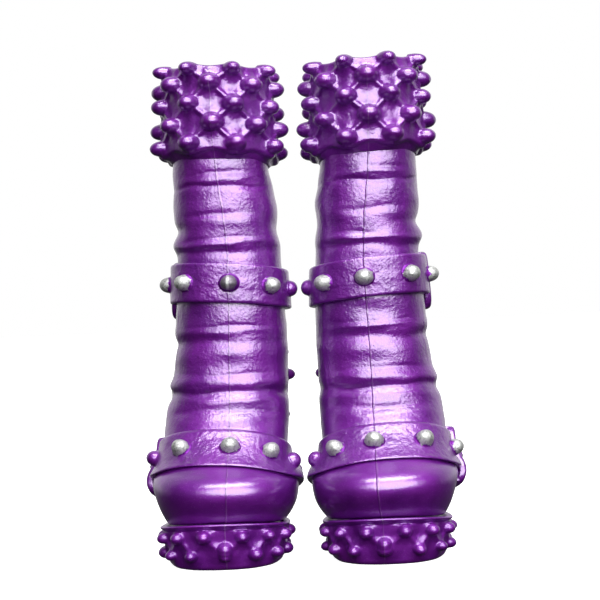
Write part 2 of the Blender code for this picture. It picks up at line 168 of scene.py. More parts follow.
# Creases of the shaft: height, depth (minus is a groove), half height, middle angle, half angle, slope
CREASES = (
    (47.3, -0.08, 0.35, 8, 38, -0.3),
    (46.6, 0.12, 0.45, -2, 45, 0.0),
    (45.7, -0.15, 0.32, 2, 72, 0.1),
    (42.2, -0.12, 0.42, 6, 36, 0.2),
    (41.4, 0.06, 0.60, 4, 36, 0.2),
    (39.2, -0.07, 0.25, 6, 42, -0.5),
    (38.6, 0.20, 0.45, 6, 60, -0.3),
    (37.6, -0.20, 0.60, 0, 78, -0.1),
    (28.3, -0.06, 0.22, 2, 42, 0.1),
    (27.7, 0.12, 0.40, 0, 48, 0.1),
    (26.4, -0.15, 0.65, 6, 80, 0.1),
    (24.8, 0.12, 0.90, 0, 60, 0.1),
    (22.5, -0.07, 0.25, 10, 48, 0.1),
    (21.5, 0.18, 0.60, 4, 70, 0.1),
    (20.2, -0.28, 0.50, 2, 88, 0.1),
    (19.3, 0.16, 0.50, 0, 62, 0.1),
    (17.9, -0.18, 0.45, 0, 52, 0.1),
    (16.9, 0.08, 0.50, 0, 52, 0.0),
)
# Fine upright lines left by the mould on the shaft's two sides: angle, lowest, highest
SIDE_LINES = ((-57, 17.5, 30.5), (68, 18.0, 31.0))
SIDE_LINE_HEIGHT, SIDE_LINE_HALF_ANGLE = 0.05, 1.4
# Depths of the skin's soft unevenness and of the broad creases at the back of the shaft
UNEVENNESS, BACK_CREASES = 0.055, 0.13
# Swellings on the two sides of the shaft: height, size, half height, middle angle, half angle
SIDE_SWELLINGS = (
    (38.7, 0.40, 0.9, 88, 40),
    (40.5, -0.38, 0.8, 90, 42),
    (36.3, -0.15, 0.9, 88, 45),
    (43.2, 0.12, 1.4, 92, 45),
    (27.7, 0.20, 0.9, 92, 45),
    (26.2, -0.16, 0.6, 90, 38),
    (24.2, 0.10, 1.0, 90, 40),
    (20.9, 0.30, 0.8, 90, 45),
    (19.5, -0.22, 0.6, 90, 40),
    (43.6, 0.22, 1.6, -92, 45),
    (40.3, -0.20, 1.0, -92, 40),
    (38.2, 0.12, 0.9, -90, 40),
    (20.7, 0.12, 0.8, -90, 40),
    (19.6, -0.14, 0.6, -90, 40),
)


# ---------------------------------------------------------------- shapes in millimetres

def smooth_step(t):
    t = np.clip(t, 0.0, 1.0)
    return t * t * (3 - 2 * t)


def between_stations(stations, height):
    """Columns of values at each height, on a smooth curve through the stations."""
    height = np.asarray(height, float)
    places = stations[:, 0]
    low = np.clip(np.searchsorted(places, height) - 1, 0, len(places) - 2)
    high = low + 1
    before = np.maximum(low - 1, 0)
    after = np.minimum(low + 2, len(places) - 1)
    span = places[high] - places[low]
    t = (height - places[low]) / span
    values = []
    for k in range(1, stations.shape[1]):
        column = stations[:, k]
        slope_low = (column[high] - column[before]) / (places[high] - places[before]) * span
        slope_high = (column[after] - column[low]) / (places[after] - places[low]) * span
        values.append(
            (2 * t**3 - 3 * t**2 + 1) * column[low]
            + (t**3 - 2 * t**2 + t) * slope_low
            + (3 * t**2 - 2 * t**3) * column[high]
            + (t**3 - t**2) * slope_high
        )
    return values


def oval(angle, exponent):
    """Shares of the half width and of the depth at an angle of a section."""
    sine, cosine = np.sin(np.radians(angle)), np.cos(np.radians(angle))
    across = np.sign(sine) * np.abs(sine) ** (2 / exponent)
    along = np.sign(cosine) * np.abs(cosine) ** (2 / exponent)
    return across, along


def sole_rise(y):
    """Height of the sole's curve at y, from 0 under the ball to the full spring at the toe tip."""
    return TOE_SPRING * np.clip((BALL - y) / TOE_LENGTH, 0.0, 1.0) ** 1.7


def upper_oval(height):
    """The upper's section at a height: its middle's x and y, front and back depth, and half width."""
    shift, front, back, half_width = between_stations(UPPER_STATIONS, height)
    blend = smooth_step((height - 10) / 8)
    middle = (0.38 * front + 0.62 * back) * (1 - blend) + 0.5 * (front + back) * blend
    return shift, middle, middle - front, back - middle, half_width


def upper_surface(angle, height, offset=0.0):
    """Points on the upper's outer skin, moved outwards by the offset."""
    angle, height = np.broadcast_arrays(np.asarray(angle, float), np.asarray(height, float))
    shift, middle, front_depth, back_depth, half_width = upper_oval(height)
    across, along = oval(angle, UPPER_OVAL)
    depth = np.where(along > 0, front_depth, back_depth)
    x = shift + (half_width + offset) * across
    y = middle - (depth + offset) * along
    spring = (sole_rise(y) - 0.5 * TOE_SPRING) * (1 - smooth_step((height - 6) / 4))
    return np.stack([x, y, height + spring], -1)


def cuff_surface(angle, height, offset=0.0):
    angle, height = np.broadcast_arrays(np.asarray(angle, float), np.asarray(height, float))
    share = (TOP_HEIGHT - height) / (TOP_HEIGHT - CUFF_BOTTOM)
    radius = CUFF_TOP_RADIUS + (CUFF_BOTTOM_RADIUS - CUFF_TOP_RADIUS) * share + offset
    shift = between_stations(UPPER_STATIONS, np.minimum(height, UPPER_TOP))[0]
    sine = np.sin(np.radians(angle))
    x = shift + radius * sine
    y = -radius * np.cos(np.radians(angle))
    return np.stack([x, y, height - CUFF_DROP * share * (y + CUFF_BOTTOM_RADIUS) + CUFF_LEAN * sine], -1)


def platform_surface(angle, height, offset=0.0):
    angle, height = np.broadcast_arrays(np.asarray(angle, float), np.asarray(height, float))
    lean = PLATFORM_UNDERCUT * (1 - height / PLATFORM_TOP)
    middle = 0.5 * (PLATFORM_FRONT + PLATFORM_BACK)
    depth = 0.5 * (PLATFORM_BACK - PLATFORM_FRONT)
    across, along = oval(angle, PLATFORM_OVAL)
    x = PLATFORM_SHIFT + (PLATFORM_HALF_WIDTH - lean + offset) * across
    y = middle - (depth - lean + offset) * along
    spring = (sole_rise(y) - 0.5 * TOE_SPRING) * height / PLATFORM_TOP
    return np.stack([x, y, height + spring], -1)


def heel_surface(angle, height, offset=0.0):
    angle, height = np.broadcast_arrays(np.asarray(angle, float), np.asarray(height, float))
    front, back, half_width = between_stations(HEEL_STATIONS, height)
    across, along = oval(angle, HEEL_OVAL)
    x = HEEL_SHIFT + (half_width + offset) * across
    y = 0.5 * (front + back) - (0.5 * (back - front) + offset) * along
    return np.stack([x, y, height], -1)


def outside_upper(points, inset=0.4):
    """The same points, with those deeper inside the upper than the inset moved out to that depth."""
    shift, middle, front_depth, back_depth, half_width = upper_oval(points[:, 2])
    x, y = points[:, 0] - shift, points[:, 1] - middle
    depth = np.where(y < 0, front_depth, back_depth) - inset
    reach = np.abs(x / (half_width - inset)) ** UPPER_OVAL + np.abs(y / depth) ** UPPER_OVAL
    reach = reach ** (1 / UPPER_OVAL)
    stretch = np.where((reach < 1) & (points[:, 2] > INSOLE_HEIGHT), 1 / np.maximum(reach, 0.05), 1.0)
    return np.stack([shift + x * stretch, middle + y * stretch, points[:, 2]], -1)


def seam_place(height):
    """x of the front parting line at each height."""
    return between_stations(SEAM_STATIONS, np.clip(height, SEAM_STATIONS[0, 0], SEAM_STATIONS[-1, 0]))[0]


def seam_angle(height):
    """The upper's angle at the front parting line."""
    shift, _, _, _, half_width = upper_oval(height)
    share = (seam_place(height) - shift) / half_width
    return np.degrees(np.arcsin(np.sign(share) * np.abs(share) ** (UPPER_OVAL / 2)))


def outward_at(surface, angle, height):
    """The direction straight out of a surface."""
    across = surface(angle + 0.5, height) - surface(angle - 0.5, height)
    up = surface(angle, height + 0.05) - surface(angle, height - 0.05)
    normal = np.cross(across, up)
    return normal / np.linalg.norm(normal)


def turn(count):
    """Even angles of a full turn."""
    return np.arange(count) * 360.0 / count


def seamed_turn(count, closeness=0.72):
    """Angles of a full turn that crowd together at the front and the back seam."""
    even = np.arange(count) * 2 * math.pi / count
    return np.degrees(even - 0.5 * closeness * np.sin(2 * even))


def seam_ring(count, height):
    """Angles of a full turn at a height, crowded at the back and at the parting line in front."""
    angles = seamed_turn(count)
    return angles + seam_angle(height) * np.cos(np.radians(angles) / 2) ** 8


def loft(rings, closed):
    """Points and faces of rings (an array of rings, points, 3), joined round or capped at both ends."""
    rings = np.asarray(rings, float)
    rows, count = rings.shape[:2]
    points = rings.reshape(-1, 3)
    j = np.arange(rows if closed else rows - 1)[:, None]
    i = np.arange(count)[None, :]
    k = (i + 1) % count
    low, high = j * count, ((j + 1) % rows) * count
    quads = np.stack([low + i, low + k, high + k, high + i], -1).reshape(-1, 4)
    faces = [tuple(quad) for quad in quads.tolist()]
    if not closed:
        faces.append(tuple(range(count - 1, -1, -1)))
        faces.append(tuple((rows - 1) * count + i for i in range(count)))
    return points, faces


def join(shapes):
    """One list of points and faces from several."""
    points, faces, start = [], [], 0
    for more_points, more_faces in shapes:
        points.append(np.asarray(more_points))
        faces.extend(tuple(index + start for index in face) for face in more_faces)
        start += len(more_points)
    return np.concatenate(points), faces


def knob(base, direction, radius, profile, sides, squash=1.0):
    """A stud on a base point: the profile gives distances along and shares of the radius.

    squash is its height as a share of its width.
    """
    direction = np.array(Vector(direction).normalized())
    side = np.cross((0, 0, 1), direction)
    side /= np.linalg.norm(side)
    other = np.cross(direction, side) * squash
    angles = np.radians(turn(sides))
    spokes = np.cos(angles)[:, None] * side + np.sin(angles)[:, None] * other
    rings = [base + direction * along + spokes * radius * share for along, share in profile]
    return loft(rings, closed=False)


# A bullet: share of the length, share of the radius
BULLET = (
    (0.15, 1.0),
    (0.35, 0.95),
    (0.55, 0.86),
    (0.70, 0.75),
    (0.82, 0.61),
    (0.91, 0.43),
    (0.97, 0.26),
    (1.0, 0.1),
)
# The foot of a stud, which flares into the strap: distance along, share of the radius
STUD_FOOT = ((-0.3, 1.18), (0.0, 1.17), (0.04, 1.1), (0.12, 1.03))


def bullet_tip(length):
    return [(along * length, share) for along, share in BULLET]


def bullet_profile(length, sunk):
    """A bullet's outline, with a foot sunk into the surface it stands on."""
    return [(-sunk, 1.0), (0.0, 1.0)] + bullet_tip(length)


# ---------------------------------------------------------------- meshes

def add_mesh(name, shape, side, material):
    """Puts a shape in the scene as the piece of the left (1) or mirrored right (-1) boot."""
    points, faces = shape
    points = np.asarray(points, float)
    placed = np.stack(
        [side * (BOOT_SPACING + points[:, 0]), points[:, 1] + DEPTH_SHIFT, points[:, 2]], -1
    ) * MM
    if side < 0:
        faces = [face[::-1] for face in faces]
    mesh = bpy.data.meshes.new(name)
    mesh.from_pydata(placed.tolist(), [], faces)
    mesh.shade_smooth()
    seam = mesh.attributes.new("seam", "FLOAT", "POINT")
    away = points[:, 0] - seam_place(points[:, 2])
    seam.data.foreach_set("value", away.astype(np.float32))
    mesh.materials.append(material)
    piece = bpy.data.objects.new(name, mesh)
    bpy.context.scene.collection.objects.link(piece)
    return piece


def moulded(shapes, melting):
    """Melts overlapping shapes into one skin with soft inner corners, as a mould gives."""
    points, faces = join(shapes)
    mesh = bpy.data.meshes.new("melt")
    mesh.from_pydata(points.tolist(), [], faces)
    melt = bpy.data.objects.new("melt", mesh)
    bpy.context.scene.collection.objects.link(melt)
    remesh = melt.modifiers.new("remesh", "REMESH")
    remesh.mode = "VOXEL"
    remesh.voxel_size = melting.voxel
    soften = melt.modifiers.new("soften", "SMOOTH")
    soften.factor = 0.5
    soften.iterations = melting.smoothing
    graph = bpy.context.evaluated_depsgraph_get()
    melted = melt.evaluated_get(graph).to_mesh()
    found = np.empty(len(melted.vertices) * 3, np.float32)
    melted.vertices.foreach_get("co", found)
    skin = [tuple(polygon.vertices) for polygon in melted.polygons]
    melt.evaluated_get(graph).to_mesh_clear()
    bpy.data.objects.remove(melt)
    bpy.data.meshes.remove(mesh)
    return found.reshape(-1, 3).astype(float), skin


def waves(angle, height, seed):
    """Soft unevenness made of a few slanting waves, about 1 at its strongest."""
    draw = random.Random(seed)
    total = 0.0
    for _ in range(7):
        turns, rise, start = draw.randint(-5, 5), draw.uniform(0.5, 2.2), draw.uniform(0, 6.28)
        total = total + np.sin(np.radians(angle) * turns + height * rise + start)
    return total / 3.5


def crease_depth(angle, height, seed):
    """How far the shaft's creases and swellings stand out of its plain surface."""
    angle = (angle + 180) % 360 - 180
    total = UNEVENNESS * waves(angle, height, seed)
    for number, (middle, depth, half_height, centre, reach, slope) in enumerate(CREASES):
        around = np.exp(-(((angle - centre) / reach) ** 4))
        around = around * (1 + 0.30 * np.sin(np.radians(angle) * (3 + number % 3) + seed + 1.7 * number))
        wander = slope * angle / 90 + 0.16 * np.sin(np.radians(angle * 3.1) + seed + 2.3 * number)
        wander = wander + 0.07 * np.sin(np.radians(angle * 7.7) + 1.9 * number)
        total = total + depth * around * np.exp(-(((height - middle - wander) / half_height) ** 2))
    for middle, size, half_height, centre, reach in SIDE_SWELLINGS:
        around = np.exp(-(((angle - centre) / reach) ** 2))
        total = total + size * around * np.exp(-(((height - middle) / half_height) ** 2))
    # the back of the shaft has broad creases of its own
    back = smooth_step((np.abs(angle) - 110) / 50)
    total = total + BACK_CREASES * back * np.sin(height * 1.35 + 0.6 * np.sin(height * 0.7))
    for line, lowest, highest in SIDE_LINES:
        away = (angle - line - 1.5 * np.sin(0.5 * height + seed)) / SIDE_LINE_HALF_ANGLE
        ends = smooth_step(height - lowest) * smooth_step(highest - height)
        total = total + SIDE_LINE_HEIGHT * np.exp(-(away**2)) * ends
    # the creases fade out under the cuff and under the instep strap
    quiet = smooth_step((height - 15.4) / 1.2) * smooth_step((49.5 - height) / 1.2)
    return total * quiet


def seam_relief(points, flash, seed):
    """The parting line on a ring of points: a fine uneven flash beside a shallow step."""
    height = points[:, 2]
    away = points[:, 0] - seam_place(height) - 0.03 * np.sin(2.1 * height + seed)
    uneven = 0.65 + 0.35 * np.sin(1.3 * height + 2 * seed) * np.sin(3.7 * height + seed)
    return flash * uneven * (np.exp(-((away / 0.08) ** 2)) - 0.3 * np.exp(-(((away + 0.18) / 0.09) ** 2)))


def upper_ring(height, relief):
    """One ring of the upper with its parting line: relief is the flash's height and the boot's seed."""
    angles = seam_ring(UPPER_SIDES, height)
    depth = crease_depth(angles, height, relief[1])
    points = upper_surface(angles, height, depth)
    return upper_surface(angles, height, depth + seam_relief(points, *relief))


def upper_shape(relief):
    """The shaft, instep and toe as one hollow shell, from sole to rim and down the lining to the insole."""
    bottom = ((0.0, -0.5), (0.0, -0.25), (0.04, -0.1), (0.15, 0.0))
    rim = ((-0.08, -0.06), (0.0, -0.25), (0.0, -0.55), (-0.1, -0.74))

    def edge(place, steps):
        heights = [(place + rise, offset) for rise, offset in steps]
        return [upper_surface(seam_ring(UPPER_SIDES, z), z, offset) for z, offset in heights]

    outside = np.concatenate([np.linspace(5.45, 9.0, 26), np.linspace(9.12, UPPER_RIM, 360)])
    rings = edge(UPPER_BOTTOM, bottom)
    rings += [upper_ring(z, relief) for z in outside]
    rings += edge(UPPER_TOP, rim)
    lining = np.linspace(UPPER_RIM, INSOLE_HEIGHT, 60)
    rings += [upper_surface(seam_ring(UPPER_SIDES, z), z, -WALL) for z in lining]
    return loft(rings, closed=False)


def web_relief(web, angle, height, knobs, links):
    """How far the web's skin is off the model's plain surface.

    A ridge runs along each link, and a skirt goes round each knob. knobs holds (angle, height), and links
    holds pairs of knobs. Distances are measured on the surface unrolled at the web's radius.
    """
    across = np.broadcast_to(np.radians(angle) * web.radius, np.broadcast(angle, height).shape)
    up = np.broadcast_to(height, across.shape)
    around = 2 * math.pi * web.radius
    total = np.zeros(across.shape)
    for (angle_a, height_a), (angle_b, height_b) in links:
        start = math.radians(angle_a) * web.radius
        run = math.radians((angle_b - angle_a + 180) % 360 - 180) * web.radius
        rise = height_b - height_a
        du = (across - start - run / 2 + around / 2) % around - around / 2 + run / 2
        dv = up - height_a
        along = np.clip((du * run + dv * rise) / (run * run + rise * rise), 0, 1)
        distance = np.hypot(du - along * run, dv - along * rise)
        total = np.maximum(total, web.ridge_height * np.exp(-((distance / web.ridge_width) ** 2)))
    for knob_angle, knob_height in knobs:
        du = (across - math.radians(knob_angle) * web.radius + around / 2) % around - around / 2
        distance = np.hypot(du, up - knob_height)
        skirt = web.skirt_height * np.exp(-((distance / web.skirt_width) ** 2))
        total = (total**3 + skirt**3) ** (1 / 3)
    return total - web.floor


def cuff_knobs(seed):
    """The cuff's columns of knobs: (angle, height, radius), each a little out of place."""
    scatter = random.Random(seed)
    columns = []
    for column in range(CUFF_COLUMNS):
        rows = CUFF_ODD_ROWS if column % 2 else CUFF_EVEN_ROWS
        angle = CUFF_TURN + 360 * column / CUFF_COLUMNS
        knobs = []
        for height, radius in rows:
            place = (angle + scatter.uniform(-1, 1), height + scatter.uniform(-0.12, 0.12))
            knobs.append((*place, radius * scatter.uniform(1.04, 1.13) * CUFF_KNOB_WIDENING))
        columns.append(knobs)
    return columns


def cuff_links(columns):
    """The web's ridges: each knob to its slanting neighbours, and from the outermost knobs to the rims."""
    links = []
    for column, knobs in enumerate(columns):
        for angle, height, _ in knobs:
            for other_angle, other_height, _ in columns[(column + 1) % CUFF_COLUMNS]:
                if abs(other_height - height) < CUFF_LINK_RISE:
                    links.append(((angle, height), (other_angle, other_height)))
    for knobs in columns[1::2]:
        for (angle, height, _), rim in ((knobs[0], TOP_HEIGHT), (knobs[-1], CUFF_HEM)):
            links.append(((angle, height), (angle, rim)))
    return links


def cuff_shape(seed):
    """The cuff: raised lines join each knob to its slanting neighbours and leave flat cells between."""
    scatter = random.Random(seed)
    columns = cuff_knobs(seed)
    knobs = [knob_place for column in columns for knob_place in column]
    links = cuff_links(columns)
    angles = turn(WEB_SIDES)
    # both rims are scalloped: they stand out where a column of three knobs meets them
    scallop = np.cos(np.radians(angles - CUFF_TURN) * CUFF_COLUMNS / 2)
    low, high = CUFF_HEM + 0.3 * scallop, TOP_HEIGHT - 0.03 - 0.1 * (1 + scallop)

    def wall(share, inset):
        height = low + (high - low) * share
        web = web_relief(CUFF_WEB, angles, height, [k[:2] for k in knobs], links)
        return cuff_surface(angles, height, inset + web)

    def underside(share):
        edge = cuff_surface(angles, low, -0.75)
        inner = cuff_surface(angles, np.full(len(angles), CUFF_BOTTOM + 0.25), -1.45)
        return edge + (inner - edge) * share

    rings = [underside(share) for share in (1.0, 0.66, 0.33, 0.1)]
    rings += [wall(0.0, -0.3), wall(0.012, -0.1)]
    rings += [wall(share, 0.0) for share in np.linspace(0.03, 0.97, 110)]
    rings += [wall(0.985, -0.06), wall(0.995, -0.2), wall(1.0, -0.5)]
    for z in (TOP_HEIGHT - 0.2, CUFF_BOTTOM + 0.3):
        bore = upper_surface(angles, min(z, UPPER_TOP), -0.35)
        bore[:, 2] = z + CUFF_LEAN * np.sin(np.radians(angles))
        rings.append(bore)
    shapes = [loft(rings, closed=True)]
    for angle, height, radius in knobs:
        turned = math.radians(angle + scatter.uniform(-4, 4))
        outward = (math.sin(turned), -math.cos(turned), scatter.uniform(-0.06, 0.06))
        profile = bullet_profile(CUFF_KNOB_LENGTH, KNOB_SUNK)
        base = cuff_surface(angle, height, -CUFF_KNOB_FOOT)
        shapes.append(knob(base, outward, radius, profile, KNOB_SIDES, CUFF_KNOB_SQUASH))
    return moulded(shapes, CUFF_MELT)


def platform_shape(seed):
    """The platform under the toe: a lipped block with two rows of knobs joined by raised lines."""
    scatter = random.Random(seed)
    step = 360 / PLATFORM_KNOBS
    high, low = PLATFORM_ROWS
    knobs = []
    links = []
    for k in range(PLATFORM_KNOBS):
        low_angle, high_angle = PLATFORM_TURN + k * step, PLATFORM_TURN + (k + 0.5) * step
        knobs += [(high_angle, high), (low_angle, low)]
        links += [((high_angle, high), (end, low)) for end in (low_angle, low_angle + step)]
        links.append(((high_angle, high), (high_angle, PLATFORM_TOP)))
    angles = turn(WEB_SIDES)

    def wall(height, inset):
        web = web_relief(PLATFORM_WEB, angles, height, knobs, links)
        return platform_surface(angles, height, inset + web)

    rings = [platform_surface(angles, 0.0, -0.8)]
    rings += [wall(z, -0.3 * (1 - z / 0.4) ** 2) for z in (0.0, 0.08, 0.2, 0.4)]
    rings += [wall(z, 0.0) for z in np.linspace(0.5, PLATFORM_TOP - 0.75, 60)]
    lip = ((0.65, 0.03), (0.5, 0.2), (0.35, 0.42), (0.2, 0.5), (0.08, 0.42), (0.0, 0.2), (0.0, -0.3))
    for drop, inset in lip:
        rings.append(platform_surface(angles, PLATFORM_TOP - drop, inset - PLATFORM_WEB.floor))
    rings.append(platform_surface(angles, PLATFORM_TOP - 0.3, -1.0))
    shapes = [loft(rings, closed=False)]
    # the knob on the parting line is drawn out upwards by two more above it
    for angle, height in knobs + [(PLATFORM_TURN, low + 0.35), (PLATFORM_TURN, low + 0.7)]:
        tilt = np.array((0, 0, scatter.uniform(-0.15, 0.1)))
        outward = outward_at(platform_surface, angle, height) + tilt
        profile = bullet_profile(SOLE_KNOB_LENGTH, KNOB_SUNK)
        radius = SOLE_KNOB_RADIUS * scatter.uniform(0.98, 1.2)
        base = platform_surface(angle, height, -PLATFORM_KNOB_FOOT)
        shapes.append(knob(base, outward, radius, profile, SOLE_KNOB_SIDES, PLATFORM_KNOB_SQUASH))
    return moulded(shapes, PLATFORM_MELT)


def heel_knob_angles(first):
    """Angles of a row of knobs, from the first one on the outer side round the back to the inner side."""
    outer = list(range(first, 181, HEEL_KNOB_STEP))
    return outer + [-angle for angle in reversed(outer) if angle != 180]


def heel_links():
    """The heel's ridges: each knob to the nearest knobs of the row above."""
    links = []
    for (height, first), (next_height, next_first) in zip(HEEL_ROWS, HEEL_ROWS[1:]):
        for angle in heel_knob_angles(first):
            for other in heel_knob_angles(next_first):
                if abs((other - angle + 180) % 360 - 180) <= HEEL_LINK_TURN:
                    links.append(((angle, height), (other, next_height)))
    return links


def heel_shape():
    """The heel block and the counter above it, which hugs the back of the upper."""
    angles = turn(HEEL_SIDES)
    knobs = [(angle, height) for height, first in HEEL_ROWS for angle in heel_knob_angles(first)]
    links = heel_links()

    def wall(height, inset):
        web = web_relief(HEEL_WEB, angles, height, knobs, links)
        return outside_upper(heel_surface(angles, height, inset + web))

    rings = [heel_surface(angles, 0.0, -0.8), wall(0.0, -0.3), wall(0.12, -0.12)]
    rings += [wall(z, 0.0) for z in np.linspace(0.35, HEEL_TOP - 0.3, 150)]
    rings += [wall(HEEL_TOP - 0.1, -0.1), wall(HEEL_TOP, -0.35)]
    shapes = [loft(rings, closed=False)]
    for angle, height in knobs:
        outward = outward_at(heel_surface, angle, height)
        profile = bullet_profile(SOLE_KNOB_LENGTH, HEEL_KNOB_SUNK)
        base = heel_surface(angle, height, -HEEL_KNOB_FOOT)
        shapes.append(knob(base, outward, SOLE_KNOB_RADIUS, profile, SOLE_KNOB_SIDES))
    return moulded(shapes, HEEL_MELT)


def strap_height(angle, strap):
    """Height of a strap's middle line, which falls from front to back and rises to the outer side."""
    angle = np.radians(angle)
    return strap.height - strap.drop * (1 - np.cos(angle)) / 2 + strap.lean * np.sin(angle)


def strap_face(strap, angle, rise, offset=0.0):
    """Points on a strap's outer face, or off it by the offset, at a rise from its middle line."""
    face = strap.low_face + (strap.high_face - strap.low_face) * (0.5 + rise / strap.width)
    return upper_surface(angle, strap_height(angle, strap) + rise, face + offset)


def strap_shape(strap, relief):
    """A band with crisp edges, a slightly crowned face and the parting line across it."""
    half = 0.5 * strap.width
    angles = seam_ring(UPPER_SIDES, strap.height)
    low_edge = [(-half, -0.28), (-half + 0.03, -0.14), (-half + 0.12, -0.04)]
    rises = np.linspace(-half + 0.26, half - 0.26, 36)
    face = [(rise, 0.03 * (1 - (rise / half) ** 2)) for rise in rises]
    high_edge = [(half - 0.12, -0.04), (half - 0.03, -0.14), (half, -0.28)]
    rings = [upper_surface(angles, strap_height(angles, strap) - half, -0.3)]
    for rise, offset in low_edge + face + high_edge:
        offset = offset + 0.02 * waves(angles, rise * 2, relief[1] + 3)
        points = strap_face(strap, angles, rise, offset)
        rings.append(strap_face(strap, angles, rise, offset + seam_relief(points, *relief)))
    rings.append(upper_surface(angles, strap_height(angles, strap) + half, -0.3))
    return loft(rings, closed=True)


def stud_shape(strap, angle):
    """One stud on its strap, and the line along its middle: where it starts, its direction and its length."""
    outward = outward_at(lambda place, rise: strap_face(strap, place, rise), angle, 0.0)
    base = strap_face(strap, angle, 0.0)
    inner = INNER_STUD_ANGLES[0] < angle < INNER_STUD_ANGLES[1]
    length = INNER_STUD_LENGTH if inner else STUD_LENGTH
    profile = list(STUD_FOOT) + bullet_tip(length)
    shape = knob(base, outward, STUD_RADIUS, profile, STUD_SIDES, STUD_SQUASH)
    return shape, (base, outward, length)


def curved_bar(strap, angles, rises, offsets, steps=16):
    """A bar that follows the upper's surface: two angles, two rises and two offsets from the skin."""
    corners = ((0, 0), (1, 0), (1, 1), (0, 1))
    rings = []
    for angle in np.linspace(angles[0], angles[1], steps):
        middle = strap_height(angle, strap)
        rings.append([upper_surface(angle, middle + rises[a], offsets[b]) for a, b in corners])
    return loft(rings, closed=False)


def buckle_outline(strap, buckle, inset, offset, count=96):
    """A ring of points on a rounded rectangle round the buckle's middle."""
    half_turn = BUCKLE_HALF_TURN - math.degrees(inset / BUCKLE_RADIUS)
    half_height = 0.5 * strap.width + BUCKLE_OVERHANG - inset
    across, along = oval(turn(count), BUCKLE_OVAL)
    angles = buckle.angle + half_turn * across
    heights = strap_height(angles, strap) - buckle.drop + half_height * along
    return upper_surface(angles, heights, offset)


def buckle_shape(strap, buckle):
    """The moulded buckle: a rounded frame that hooks over the strap's edges, and its raised prong."""
    face = max(strap.low_face, strap.high_face)
    outside = face + 0.2 + BUCKLE_THICKNESS
    section = (
        (0.0, face - 0.3),
        (0.0, outside - 0.3),
        (0.08, outside - 0.1),
        (0.28, outside),
        (BUCKLE_BAR - 0.2, outside),
        (BUCKLE_BAR, outside - 0.15),
        (BUCKLE_BAR, face - 0.3),
    )
    outlines = [buckle_outline(strap, buckle, inset, offset) for inset, offset in section]
    span = (buckle.angle - BUCKLE_HALF_TURN + 3, buckle.angle + BUCKLE_HALF_TURN - 3)
    edge, reach = 0.5 * strap.width + 0.1, 0.5 * strap.width + BUCKLE_OVERHANG - 0.15
    hooks = [
        curved_bar(strap, span, (edge, reach - buckle.drop), (-0.2, face)),
        curved_bar(strap, span, (-reach - buckle.drop, -edge), (-0.2, face)),
    ]
    across = (-PRONG_HALF_WIDTH, PRONG_HALF_WIDTH)
    prong = curved_bar(strap, span, across, (face - 0.3, outside + 0.25))
    return moulded([loft(outlines, closed=True), prong] + hooks, BUCKLE_MELT)


# ---------------------------------------------------------------- materials

class Nodes:
    """A short way to write a material's node tree."""

    def __init__(self, name):
        self.material = bpy.data.materials.new(name)
        self.material.use_nodes = True
        self.tree = self.material.node_tree
        self.shader = self.tree.nodes["Principled BSDF"]

    def add(self, kind, inputs=None, **settings):
        node = self.tree.nodes.new(kind)
        for key, value in settings.items():
            setattr(node, key, value)
        for key, value in (inputs or {}).items():
            if isinstance(value, bpy.types.NodeSocket):
                self.tree.links.new(value, node.inputs[key])
            else:
                node.inputs[key].default_value = value
        return node

    def link(self, output, socket):
        self.tree.links.new(output, self.shader.inputs[socket])

    def noise(self, coordinates, scale, detail=2.0, roughness=0.5):
        inputs = {"Vector": coordinates, "Scale": scale, "Detail": detail, "Roughness": roughness}
        return self.add("ShaderNodeTexNoise", inputs).outputs["Fac"]

    def ramp(self, value, low, high, from_value=0.0, to_value=1.0):
        inputs = {"Value": value, "From Min": low, "From Max": high, "To Min": from_value, "To Max": to_value}
        return self.add("ShaderNodeMapRange", inputs).outputs["Result"]

    def math(self, operation, first, second):
        return self.add("ShaderNodeMath", {0: first, 1: second}, operation=operation).outputs[0]

    def mix(self, share, first, second):
        node = self.add("ShaderNodeMix", data_type="RGBA")
        sockets = {socket.identifier: socket for socket in node.inputs}
        for name, value in (("Factor_Float", share), ("A_Color", first), ("B_Color", second)):
            if isinstance(value, bpy.types.NodeSocket):
                self.tree.links.new(value, sockets[name])
            else:
                sockets[name].default_value = value
        return next(socket for socket in node.outputs if socket.identifier == "Result_Color")

    def bump(self, height, distance, strength=1.0, normal=None):
        inputs = {"Height": height, "Distance": distance, "Strength": strength}
        if normal is not None:
            inputs["Normal"] = normal
        return self.add("ShaderNodeBump", inputs).outputs["Normal"]


PURPLE = (0.188, 0.009, 0.300, 1)
PURPLE_DEEP = (0.134, 0.004, 0.235, 1)
SILVER = (0.52, 0.53, 0.51, 1)
WORN_SILVER = (0.20, 0.18, 0.21, 1)
PALE_FLAKE = (0.45, 0.15, 0.60, 1)
# a painted highlight on the raised flash of the parting line
PAINTED_SEAM_HIGHLIGHT = (0.52, 0.26, 0.62, 1)
THIN_PAINT = (0.12, 0.11, 0.12, 1)
# Vinyl skins: noise cells to a metre of the grain, depths in metres of the grain and of the wider dents,
# strength of the clear coat, and the share of these depths that is left at the toe
Vinyl = namedtuple("Vinyl", "grain grain_depth dent_depth coat at_toe")
VINYLS = {
    "shaft": Vinyl(2800, 0.00006, 0.00011, 1.0, 0.35),
    "strap": Vinyl(1800, 0.00010, 0.00010, 1.0, 1.0),
    "smooth": Vinyl(2600, 0.00005, 0.00013, 1.0, 0.35),
    "sole": Vinyl(2600, 0.00007, 0.00016, 0.6, 0.35),
}
# Between these heights, in metres, the toe's smooth skin becomes the shaft's
TOE_SKIN = (0.012, 0.018)
# How far up from its foot a stud is bare of paint, as a share of its length
SILVER_BARE, WORN_SILVER_BARE = 0.12, 0.42
